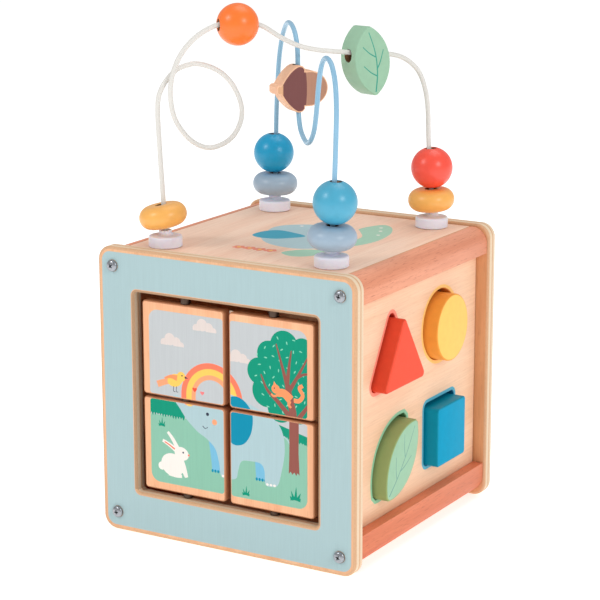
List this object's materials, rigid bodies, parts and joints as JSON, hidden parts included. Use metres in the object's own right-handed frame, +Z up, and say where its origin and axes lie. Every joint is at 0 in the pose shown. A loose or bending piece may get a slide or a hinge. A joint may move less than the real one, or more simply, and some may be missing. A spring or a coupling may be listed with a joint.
{
  "type": "shape sorter",
  "caption": "Wooden activity cube: turning picture blocks in the front, a shape-sorting side, and beads on bent wires over the top.",
  "frame": {"origin": "centre of the cube's footprint, on the floor that the end panels stand on", "axes": "+Z up, -Y towards the picture blocks, +X towards the sorting side"},
  "size_m": [0.16, 0.1644, 0.2878],
  "materials": {
    "front_ply": "plywood, pale blue print on the face, clear lacquer",
    "plywood": "plywood, clear matt lacquer",
    "beech": "beech, clear matt lacquer",
    "picture_ply": "plywood with printed picture, clear lacquer",
    "steel": "zinc plated",
    "white_plastic": "moulded, satin",
    "white_wire": "powder coated, satin",
    "blue_wire": "powder coated, satin",
    "red_wood": "satin paint",
    "orange_wood": "satin paint",
    "yellow_wood": "satin paint",
    "pale_blue_wood": "satin paint",
    "teal_wood": "satin paint",
    "sky_wood": "satin paint",
    "green_wood": "satin paint with darker printed veins",
    "acorn_wood": "printed faces, bare edge"
  },
  "bodies": {
    "cube": {"back_panel": "front_ply", "block_axle_left": "steel", "block_axle_right": "steel", "block_spacer_lower_left": "steel", "block_spacer_lower_right": "steel", "block_spacer_middle_left": "steel", "block_spacer_middle_right": "steel", "block_spacer_upper_left": "steel", "block_spacer_upper_right": "steel", "blue_wire": "blue_wire", "bottom_panel": "plywood", "front_panel": "front_ply", "left_panel": "plywood", "lower_rail_left": "beech", "lower_rail_right": "beech", "push_nut_back_left": "steel", "push_nut_back_right": "steel", "push_nut_front_left": "steel", "push_nut_front_right": "steel", "screw_back_lower_left": "steel", "screw_back_lower_right": "steel", "screw_back_upper_left": "steel", "screw_back_upper_right": "steel", "screw_front_lower_left": "steel", "screw_front_lower_right": "steel", "screw_front_upper_left": "steel", "screw_front_upper_right": "steel", "sorter_panel": "plywood", "top_panel": "plywood", "upper_rail_left": "beech", "upper_rail_right": "beech", "white_wire": "white_wire", "wire_foot_back_left": "white_plastic", "wire_foot_back_right": "white_plastic", "wire_foot_front_left": "white_plastic", "wire_foot_front_right": "white_plastic"},
    "block_upper_left": {"picture_block_upper_left": "picture_ply"},
    "block_upper_right": {"picture_block_upper_right": "picture_ply"},
    "block_lower_left": {"picture_block_lower_left": "picture_ply"},
    "block_lower_right": {"picture_block_lower_right": "picture_ply"},
    "triangle": {"sorter_triangle": "red_wood"},
    "disc": {"sorter_disc": "yellow_wood"},
    "leaf": {"sorter_leaf": "green_wood"},
    "square": {"sorter_square": "teal_wood"},
    "bead_front_left": {"disc_bead_front_left": "yellow_wood"},
    "bead_back_right": {"disc_bead_back_right": "yellow_wood"},
    "bead_red": {"ball_red": "red_wood"},
    "bead_back_left": {"disc_bead_back_left": "pale_blue_wood"},
    "bead_teal": {"ball_teal": "teal_wood"},
    "bead_front_right": {"disc_bead_front_right": "pale_blue_wood"},
    "bead_sky": {"ball_sky": "sky_wood"},
    "bead_orange": {"ball_orange": "orange_wood"},
    "bead_leaf": {"leaf_bead": "green_wood"},
    "bead_acorn": {"acorn_bead": "acorn_wood"}
  },
  "joints": [
    {"name": "turn_upper_left", "type": "hinge", "parent": "cube", "child": "block_upper_left", "pos_m": [-0.0275, -0.074, 0.1063], "axis": [0, 0, 1], "continuous": true},
    {"name": "turn_upper_right", "type": "hinge", "parent": "cube", "child": "block_upper_right", "pos_m": [0.0275, -0.074, 0.1063], "axis": [0, 0, 1], "continuous": true},
    {"name": "turn_lower_left", "type": "hinge", "parent": "cube", "child": "block_lower_left", "pos_m": [-0.0275, -0.074, 0.0529], "axis": [0, 0, 1], "continuous": true},
    {"name": "turn_lower_right", "type": "hinge", "parent": "cube", "child": "block_lower_right", "pos_m": [0.0275, -0.074, 0.0529], "axis": [0, 0, 1], "continuous": true},
    {"name": "post_triangle", "type": "slide", "parent": "cube", "child": "triangle", "axis": [1, 0, 0], "range_m": [-0.0145, 0.03]},
    {"name": "post_disc", "type": "slide", "parent": "cube", "child": "disc", "axis": [1, 0, 0], "range_m": [-0.0145, 0.03]},
    {"name": "post_leaf", "type": "slide", "parent": "cube", "child": "leaf", "axis": [1, 0, 0], "range_m": [-0.0145, 0.03]},
    {"name": "post_square", "type": "slide", "parent": "cube", "child": "square", "axis": [1, 0, 0], "range_m": [-0.0145, 0.03]},
    {"name": "lift_bead_front_left", "type": "slide", "parent": "cube", "child": "bead_front_left", "axis": [-0.0464, -0.0103, 0.9989], "range_m": [0, 0.038]},
    {"name": "lift_bead_back_right", "type": "slide", "parent": "cube", "child": "bead_back_right", "axis": [-0.0391, -0.0461, 0.9982], "range_m": [0, 0.012]},
    {"name": "lift_bead_red", "type": "slide", "parent": "bead_back_right", "child": "bead_red", "axis": [-0.0391, -0.0461, 0.9982], "range_m": [0, 0.018]},
    {"name": "lift_bead_back_left", "type": "slide", "parent": "cube", "child": "bead_back_left", "axis": [0.0182, 0.0104, 0.9998], "range_m": [0, 0.01]},
    {"name": "lift_bead_teal", "type": "slide", "parent": "bead_back_left", "child": "bead_teal", "axis": [0.0182, 0.0104, 0.9998], "range_m": [0, 0.017]},
    {"name": "lift_bead_front_right", "type": "slide", "parent": "cube", "child": "bead_front_right", "axis": [0.0568, -0.0193, 0.9982], "range_m": [0, 0.014]},
    {"name": "lift_bead_sky", "type": "slide", "parent": "bead_front_right", "child": "bead_sky", "axis": [0.0568, -0.0193, 0.9982], "range_m": [0, 0.023]},
    {"name": "run_bead_orange", "type": "hinge", "parent": "cube", "child": "bead_orange", "pos_m": [-0.0217, -0.02932, 0.2416], "axis": [0.7629, -0.6465, 0], "range_deg": [-12, 19]},
    {"name": "run_bead_leaf", "type": "slide", "parent": "cube", "child": "bead_leaf", "axis": [0.5273, 0.8448, -0.0907], "range_m": [-0.005, 0.013]},
    {"name": "spin_bead_acorn", "type": "hinge", "parent": "cube", "child": "bead_acorn", "pos_m": [-0.00576, 0.0053, 0.2394], "axis": [-0.048, 0.0526, 0.9975], "continuous": true}
  ]
}
